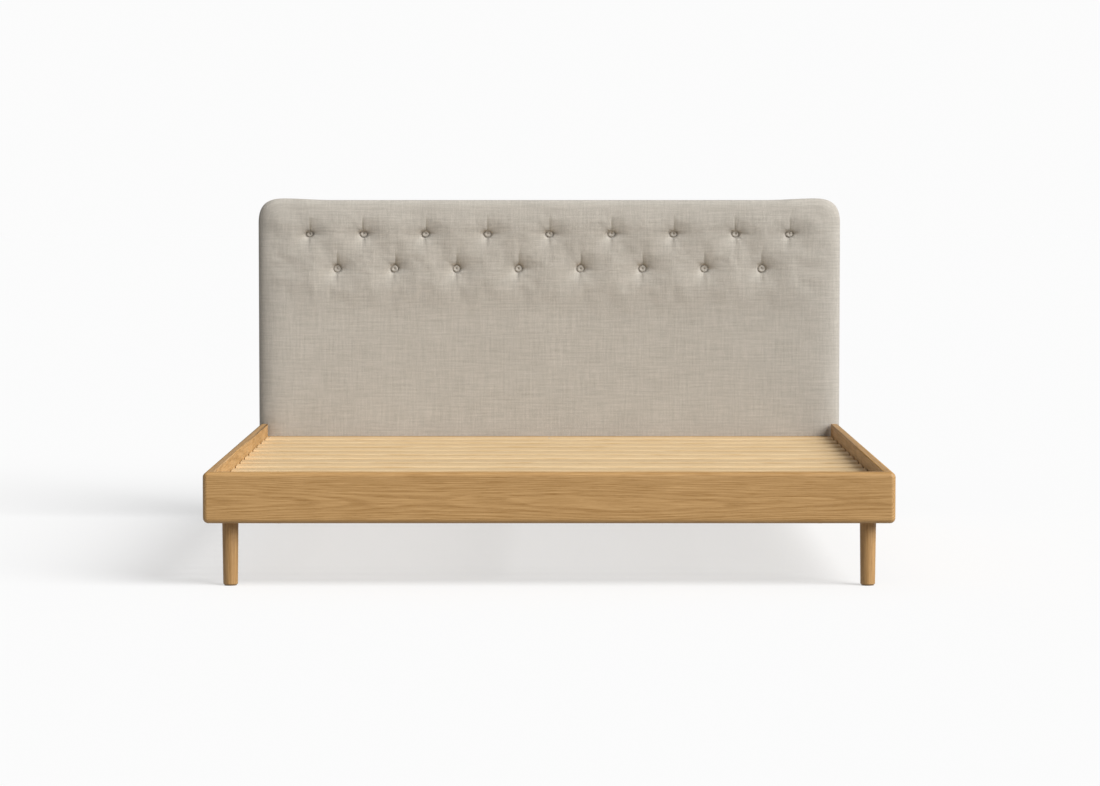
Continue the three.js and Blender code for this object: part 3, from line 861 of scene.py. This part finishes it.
def rim_stations():
    """How the cover runs on from the face's edge: each step's y, and how far it is turned in."""
    turn_y = back_y - PAD_BACK_EDGE
    stations = [(y, 0.0) for y in spaced(face_y + PAD_CROWN_DEPTH, turn_y, 0.010)[1:]]
    stations += [(turn_y + run, inwards) for run, inwards in quarter_round(PAD_BACK_EDGE, 4)[1:]]
    turned_in = PAD_BACK_EDGE + PAD_TURN_IN
    stations += [(back_y, PAD_BACK_EDGE + PAD_TURN_IN / 2), (back_y, turned_in)]

    # Inside, the pad closes round the strips and against the front of the board.
    wadding = half_width - box_of("headboard_ring")[1][0]
    inner_back_y = back_y - CLOTH_THICKNESS
    board_y = box_of("headboard_core")[0][1]
    return stations + [(inner_back_y, turned_in), (inner_back_y, wadding), (board_y, wadding)]


def corner_gathers(edge):
    """Pleats where the cover is eased round the top corners."""
    perimeter = np.cumsum(np.hypot(*np.diff(edge, axis=0, prepend=edge[:1]).T))
    gathers = np.zeros(len(edge))
    for side in (-1, 1):
        middle_x = side * (half_width - 0.3 * PAD_TOP_CORNER)
        middle_z = top_z - 0.3 * PAD_TOP_CORNER
        away = np.hypot(edge[:, 0] - middle_x, edge[:, 1] - middle_z)
        pleat = np.abs(np.sin(perimeter * math.pi / GATHER_PITCH + side)) ** 0.6
        gathers += np.exp(-(away / 0.042) ** 2) * pleat
    return gathers


def headboard_cover():
    xs, zs = face_lines()
    points = cover_face(xs, zs)
    index = np.arange(len(points)).reshape(len(zs), len(xs))
    flat_grid = np.meshgrid(flat_lines(xs, -half_width, half_width), flat_lines(zs, base_z, top_z))
    laid = np.stack(flat_grid, axis=2).reshape(-1, 2)

    rim = np.concatenate([index[0, :-1], index[:-1, -1], index[-1, :0:-1], index[:0:-1, 0]])
    edge = points[rim][:, [0, 2]]
    normal = rim_normals(edge, *(grid.reshape(-1)[rim] for grid in np.meshgrid(xs, zs)))
    gathers = corner_gathers(edge)

    verts, laid_all, rings = [points], [laid], [rim]
    start_y = face_y + PAD_CROWN_DEPTH
    travelled, last = 0.0, (start_y, 0.0)
    for station in rim_stations():
        y, turned_in = station
        travelled += math.dist(station, last)
        depth_share = smooth(np.array(y), start_y + 0.012, back_y)
        pull = turned_in + GATHER_DEPTH * gathers * depth_share
        verts.append(at_depth(edge - normal * pull[:, None], y))
        laid_all.append(laid[rim] + normal * travelled)
        rings.append(len(points) + (len(rings) - 1) * len(rim) + np.arange(len(rim)))
        last = station
    faces = grid_faces(index) + grid_faces(closed(np.array(rings)).T) + [rings[-1][::-1]]

    piece = mesh_object("headboard_cover", np.concatenate(verts), faces, linen)
    sharpen_folds(piece, xs, zs)
    store_weave(piece, np.concatenate(laid_all))
    place(piece, "linen", "headboard_pad")


def sharpen_folds(piece, xs, zs):
    """Keeps the shading of a fold's upper layer apart from the layer under it."""
    piece.data.set_sharp_from_angle(angle=math.radians(60))
    layer = piece.data.attributes["sharp_edge"]
    sharp = np.zeros(len(piece.data.edges), bool)
    layer.data.foreach_get("value", sharp)
    ends = np.zeros(2 * len(sharp), np.int32)
    piece.data.edges.foreach_get("vertices", ends)
    ends = np.sort(ends.reshape(-1, 2), axis=1)
    row, column = np.divmod(ends[:, 0], len(xs))
    runs_up = (ends[:, 1] - ends[:, 0] == len(xs)) & (row < len(zs) - 1)
    row = np.minimum(row, len(zs) - 1)
    for centre in buttons.values():
        beside = np.abs(np.abs(xs[column] - centre[0]) - FOLD_WIDTH / 2) < FOLD_WIDTH / 10
        above = (zs[row] > centre[2] + 0.006) & (zs[row] < centre[2] + 0.070)
        sharp |= runs_up & beside & above
    layer.data.foreach_set("value", sharp)


def store_weave(piece, laid):
    """Stores where each point lies on the flat cloth, in metres, for the weave."""
    values = np.zeros((len(laid), 3), np.float32)
    values[:, :2] = laid
    layer = piece.data.attributes.new("weave", "FLOAT_VECTOR", "POINT")
    layer.data.foreach_set("vector", values.reshape(-1))


def button(name, centre):
    """A cloth-covered button, gathered underneath: a soft rim round a shallow dish, tied at its middle."""
    low, high = box_of(name)
    radius = (high[2] - low[2]) / 2
    height = high[1] - low[1]
    shares = [(0.0, 0.0), (0.80, 0.0), (0.93, 0.08), (1.0, 0.24)]
    for step in range(1, 8):
        angle = step / 7 * math.pi / 2
        shares.append((0.66 + 0.34 * math.cos(angle), 0.24 + 0.54 * math.sin(angle)))
    shares += [(0.56, 0.775), (0.45, 0.750), (0.36, 0.70), (0.29, 0.60), (0.23, 0.44), (0.17, 0.30),
               (0.08, 0.23), (0.0, 0.22)]
    profile = [(radius * across, height * up) for across, up in shares]
    phase = rng.uniform(0, 6.28)

    def gathered(angles, index):
        strength = (0.0, 0.030, 0.022, 0.010)[index] if index < 4 else 0.0
        return 1 + strength * np.cos(14 * angles + phase) + 0.006 * np.cos(2 * angles + phase)

    verts, faces = revolve(profile, 56, gathered)
    spin = rng.normal(0, 0.10)
    laid = np.stack([
        verts[:, 0] * math.cos(spin) - verts[:, 1] * math.sin(spin),
        verts[:, 0] * math.sin(spin) + verts[:, 1] * math.cos(spin),
    ], axis=1)
    tilt = Vector((rng.normal(0, 0.05), -1, rng.normal(0.03, 0.05))).normalized()
    verts = turned(verts, tilt) + np.array([centre[0], high[1], centre[2]])
    piece = mesh_object(f"linen_{name}", verts, faces, linen)
    store_weave(piece, laid + rng.uniform(0, 1, 2))
    place(piece, "linen", name)


headboard_cover()
for name in sorted(buttons):
    button(name, buttons[name])


# ---- Lining on the headboard's back ----
def back_lining():
    low, high = box_of("headboard_back_cloth")
    radii = [PAD_BOTTOM_CORNER - LINING_CORNER_INSET] * 2 + [PAD_TOP_CORNER - LINING_CORNER_INSET] * 2
    outline, normals = rounded_loop(low[0], low[2], high[0], high[2], radii, 8)
    # Straight runs get points of their own so that the edge can pucker between staples.
    points, outward = [], []
    for i in range(len(outline)):
        a, b = outline[i], outline[(i + 1) % len(outline)]
        count = max(1, round(np.linalg.norm(b - a) / LINING_STEP))
        for step in range(count):
            points.append(a + (b - a) * step / count)
            outward.append(normals[i])
    points, outward = np.array(points), np.array(outward)
    centre = np.array([0.0, (low[2] + high[2]) / 2])
    lengths = np.cumsum(np.linalg.norm(np.diff(points, axis=0, prepend=points[:1]), axis=1))
    pucker = 0.0006 * np.sin(lengths * 2 * math.pi / STAPLE_SPACING)
    shares = [1.0, 0.992, 0.984, 0.970, 0.93, 0.86, 0.75, 0.6, 0.42, 0.22]
    rings, laid = [], []
    for number, share in enumerate(shares):
        ring = centre + (points - centre) * share
        hollow = LINING_HOLLOW * smooth(np.array(1 - share), 0.04, 0.5)
        bow = 0.0004 * np.sin(ring[:, 0] * 5.1 + ring[:, 1] * 3.3)
        edge = pucker * max(0.0, 1 - number / 4)
        y = high[1] - 0.0007 - hollow + bow * (1 - share) * 2 + edge * 0.6
        rings.append(at_depth(ring, np.minimum(y, high[1])))
        laid.append(ring)
    middle = np.array([[centre[0], high[1] - 0.0016, centre[1]]])
    verts = np.concatenate([at_depth(laid[0], low[1])] + rings + [middle])
    laid = np.concatenate([laid[0]] + laid + [centre[None, :]])
    count = len(points)
    faces = ring_faces(len(rings) + 1, count) + [range(count)[::-1]]
    last = len(rings) * count
    faces += [(last + i, last + (i + 1) % count, last + count) for i in range(count)]
    piece = mesh_object("back_lining", verts, faces, lining)
    keep_flats_flat(piece)
    store_weave(piece, laid)
    place(piece, "lining", "headboard_back_cloth")
    return points, outward


def staple():
    """A flat staple crown lying in XZ, with its two legs bent back."""
    half, wire = STAPLE_WIDTH / 2, STAPLE_WIRE
    path = [(-half, wire * 2.2), (-half, 0), (half, 0), (half, wire * 2.2)]
    sections = []
    for x, y in path:
        sideways = math.copysign(wire / 2, x)
        lift = -wire / 2 if y == 0 else 0
        sections.append([
            (x + sideways, y + lift, -wire), (x + sideways, y + lift, wire),
            (x - sideways, y - lift, wire), (x - sideways, y - lift, -wire),
        ])
    return loft(sections)


def lining_staples(points, outward):
    verts, faces = staple()
    verts = verts * np.array([1, -1, 1])
    high = box_of("headboard_back_cloth")[1]
    step = round(STAPLE_SPACING / LINING_STEP)
    all_verts, all_faces = [], []
    for number, i in enumerate(range(0, len(points), step)):
        angle = math.atan2(outward[i][1], outward[i][0]) - math.pi / 2 + rng.normal(0, 0.10)
        turn = np.array([
            [math.cos(angle), 0, -math.sin(angle)],
            [0, 1, 0],
            [math.sin(angle), 0, math.cos(angle)],
        ])
        across, up = points[i] - outward[i] * (STAPLE_INSET + rng.normal(0, 0.0008))
        all_verts.append(verts @ turn.T + np.array([across, high[1] - 0.0002, up]))
        all_faces += [tuple(v + number * len(verts) for v in face) for face in faces]
    piece = mesh_object("lining_staples", np.concatenate(all_verts), all_faces, zinc, smooth=False)
    place(piece, "zinc_steel")


lining_staples(*back_lining())


# ---- Slat tapes, screws and bolts ----
def slat_tape(side):
    """Webbing stapled under the slats, hanging a little between them."""
    x = side * TAPE_OFFSET
    under = box_of(slats[0])[0][2]
    spans = [(box_of(name)[0][1], box_of(name)[1][1]) for name in slats]
    first, last = spans[0][0] + 0.012, spans[-1][1] - 0.012
    along = np.linspace(first, last, 480)
    sag = np.zeros_like(along)
    for (_, end), (start, _) in zip(spans, spans[1:]):
        share = np.clip((along - end) / (start - end), 0, 1)
        sag += TAPE_SAG * np.sin(share * math.pi) ** 1.5
    top = under - 0.0002 - sag
    across = [-0.5, -0.46, 0.0, 0.46, 0.5]
    drop = [0.35, 0.0, 0.0, 0.0, 0.35]
    loop_x = [a * TAPE_WIDTH for a in across] + [a * TAPE_WIDTH for a in across[::-1]]
    loop_z = [-d * TAPE_THICKNESS for d in drop] + [-TAPE_THICKNESS * (1 - d) for d in drop[::-1]]
    loops = [
        np.array([(x + dx, y, z + dz) for dx, dz in zip(loop_x, loop_z)]) for y, z in zip(along, top)
    ]
    verts, faces = loft(loops)
    piece = mesh_object(f"slat_tape_{'left' if side < 0 else 'right'}", verts, faces, webbing)
    store_weave(piece, verts[:, :2])
    place(piece, "webbing")


def hexagon(angles):
    """A circle's points drawn in to the hexagon whose corners lie on it."""
    folded = np.mod(angles, math.pi / 3) - math.pi / 6
    return math.cos(math.pi / 6) / np.cos(folded)


def fasteners(name, profile, shape, spots, direction):
    """One zinc-plated head at each spot, looking in a direction."""
    verts, faces = revolve(profile, 48, shape)
    verts, faces = repeated(turned(verts, direction), faces, spots)
    piece = mesh_object(name, verts, faces, zinc)
    keep_flats_flat(piece)
    place(piece, "zinc_steel")


def screw_heads(name, spots, direction, radius=SCREW_RADIUS):
    """Countersunk wood screws with a six-lobed recess, just proud of the surface."""
    profile = [
        (0, -0.0010), (radius, -0.0010), (radius, 0.0001), (radius * 0.94, 0.0004),
        (radius * 0.56, 0.0005), (radius * 0.50, 0.0002), (radius * 0.46, -0.0006), (0, -0.0008),
    ]

    def lobes(angles, index):
        return 1 + (0.17 * np.cos(6 * angles) if 4 <= index <= 6 else 0 * angles)

    fasteners(name, profile, lobes, spots, direction)


def hex_bolts(name, spots, direction):
    """M8 bolt heads on washers."""
    profile = [
        (0, 0), (BOLT_WASHER, 0), (BOLT_WASHER, 0.0014), (BOLT_HEAD, 0.0015), (BOLT_HEAD, 0.0062),
        (BOLT_HEAD * 0.90, 0.0069), (0, 0.0069),
    ]

    def six_sided(angles, index):
        return hexagon(angles) if index in (3, 4) else np.ones_like(angles)

    fasteners(name, profile, six_sided, spots, direction)


for side in (-1, 1):
    slat_tape(side)

# Two screws at each end and at the middle of the first and the last slat.
ledge_low, ledge_high = box_of("slat_ledge_right")
ledge_x, _, ledge_z = (ledge_low + ledge_high) / 2
end_slats = []
for name in (slats[0], slats[-1]):
    low, high = box_of(name)
    for x in (-ledge_x, 0.0, ledge_x):
        for y in (low[1] + SLAT_SCREW_INSET, high[1] - SLAT_SCREW_INSET):
            end_slats.append((x, y, high[2]))
screw_heads("slat_screws", end_slats, (0, 0, 1))

# A row along each ledge's inner face.
ledge_screw_ys = np.linspace(ledge_low[1] + 0.06, ledge_high[1] - 0.06, 9)
for label, sign in (("left", -1), ("right", 1)):
    spots = [(sign * ledge_low[0], y, ledge_z) for y in ledge_screw_ys]
    screw_heads(f"ledge_screws_{label}", spots, (-sign, 0, 0))

# Four at the corners of each hanger's plate.
for end, sign in (("front", 1), ("rear", -1)):
    low, high = box_of(f"midbeam_hanger_{end}")
    face = low[1] + HANGER_PLATE if sign > 0 else high[1] - HANGER_PLATE
    spots = [
        (x, face, high[2] - drop)
        for x in (low[0] + HANGER_SCREW_INSET, high[0] - HANGER_SCREW_INSET)
        for drop in (HANGER_SCREW_INSET, HANGER_SCREW_INSET + HANGER_SCREW_PITCH)
    ]
    screw_heads(f"hanger_screws_{end}", spots, (0, sign, 0), radius=SMALL_SCREW_RADIUS)

# One bolt through the rear rail into each stile of the headboard.
stile_low, stile_high = box_of("headboard_stile_right")
stile_x = (stile_low[0] + stile_high[0]) / 2
head_low, head_high = box_of("head_rail")
bolt_spots = [(side * stile_x, head_low[1], head_high[2] - BOLT_DROP) for side in (-1, 1)]
hex_bolts("headboard_bolts", bolt_spots, (0, -1, 0))


# ---- Studio: floor, light and camera ----
SKY = 0.33  # the even light from all round
SUN = 1.38  # the broad light from the front right, on a face turned to it
SUN_AZIMUTH, SUN_ELEVATION = 56.0, 33.5  # to the right of the foot end's view, and above the floor
SUN_SPREAD = 45.0
FLOOR_ALBEDO = 0.40
BACKDROP = 0.97  # how light the floor and the backdrop look
FLOOR_REACH = 60.0
CAMERA_PLACE = (0.0025, -11.711, 1.2112)
CAMERA_TILT = 3.4388  # downwards, in degrees
FOCAL_LENGTH = 119.3  # mm, on a sensor 36 mm wide


def studio_floor():
    """A pale floor with a glow of its own, so that the bed's shadow on it stays pale.

    The floor throws no light back at the bed.
    """
    t = Tree("studio_floor", roughness=0.95)
    lit = FLOOR_ALBEDO * (SKY + SUN * math.sin(math.radians(SUN_ELEVATION)))
    t.shader.inputs["Base Color"].default_value = rgb(FLOOR_ALBEDO, FLOOR_ALBEDO, FLOOR_ALBEDO)
    t.shader.inputs["Specular IOR Level"].default_value = 0.0
    t.shader.inputs["Emission Color"].default_value = rgb(1, 1, 1)
    t.shader.inputs["Emission Strength"].default_value = BACKDROP - lit
    turns = np.arange(48) / 48 * 2 * math.pi
    verts = [(FLOOR_REACH * math.cos(turn), FLOOR_REACH * math.sin(turn), 0) for turn in turns]
    floor = mesh_object("studio_floor", verts, [range(len(verts))], t.material)
    floor.visible_diffuse = False


def studio_light():
    """One broad light from the front right, as from a wall of soft boxes."""
    lamp = bpy.data.lights.new("key", "SUN")
    lamp.energy = SUN * math.pi
    lamp.angle = math.radians(SUN_SPREAD)
    lamp_object = bpy.data.objects.new("key", lamp)
    bpy.context.scene.collection.objects.link(lamp_object)
    azimuth, elevation = math.radians(SUN_AZIMUTH), math.radians(SUN_ELEVATION)
    towards = Vector((
        math.sin(azimuth) * math.cos(elevation),
        -math.cos(azimuth) * math.cos(elevation),
        math.sin(elevation),
    ))
    lamp_object.rotation_euler = towards.to_track_quat("Z", "Y").to_euler()


def studio_world():
    """Even light from all round, behind a backdrop as pale as the floor."""
    world = bpy.data.worlds.new("studio")
    world.use_nodes = True
    tree = world.node_tree
    tree.nodes["Background"].inputs["Strength"].default_value = 1.0
    seen = tree.nodes.new("ShaderNodeLightPath").outputs["Is Camera Ray"]
    level = tree.nodes.new("ShaderNodeMapRange")
    level.inputs["To Min"].default_value = SKY
    level.inputs["To Max"].default_value = BACKDROP
    tree.links.new(seen, level.inputs["Value"])
    tree.links.new(level.outputs["Result"], tree.nodes["Background"].inputs["Color"])
    bpy.context.scene.world = world


studio_floor()
studio_light()
studio_world()
bpy.context.scene.view_settings.view_transform = "Standard"

lens = bpy.data.cameras.new("camera")
lens.sensor_width = 36.0
lens.lens = FOCAL_LENGTH
lens.clip_end = 100.0
camera = bpy.data.objects.new("camera", lens)
bpy.context.scene.collection.objects.link(camera)
camera.location = CAMERA_PLACE
camera.rotation_euler = (math.radians(90 - CAMERA_TILT), 0, 0)
bpy.context.scene.camera = camera
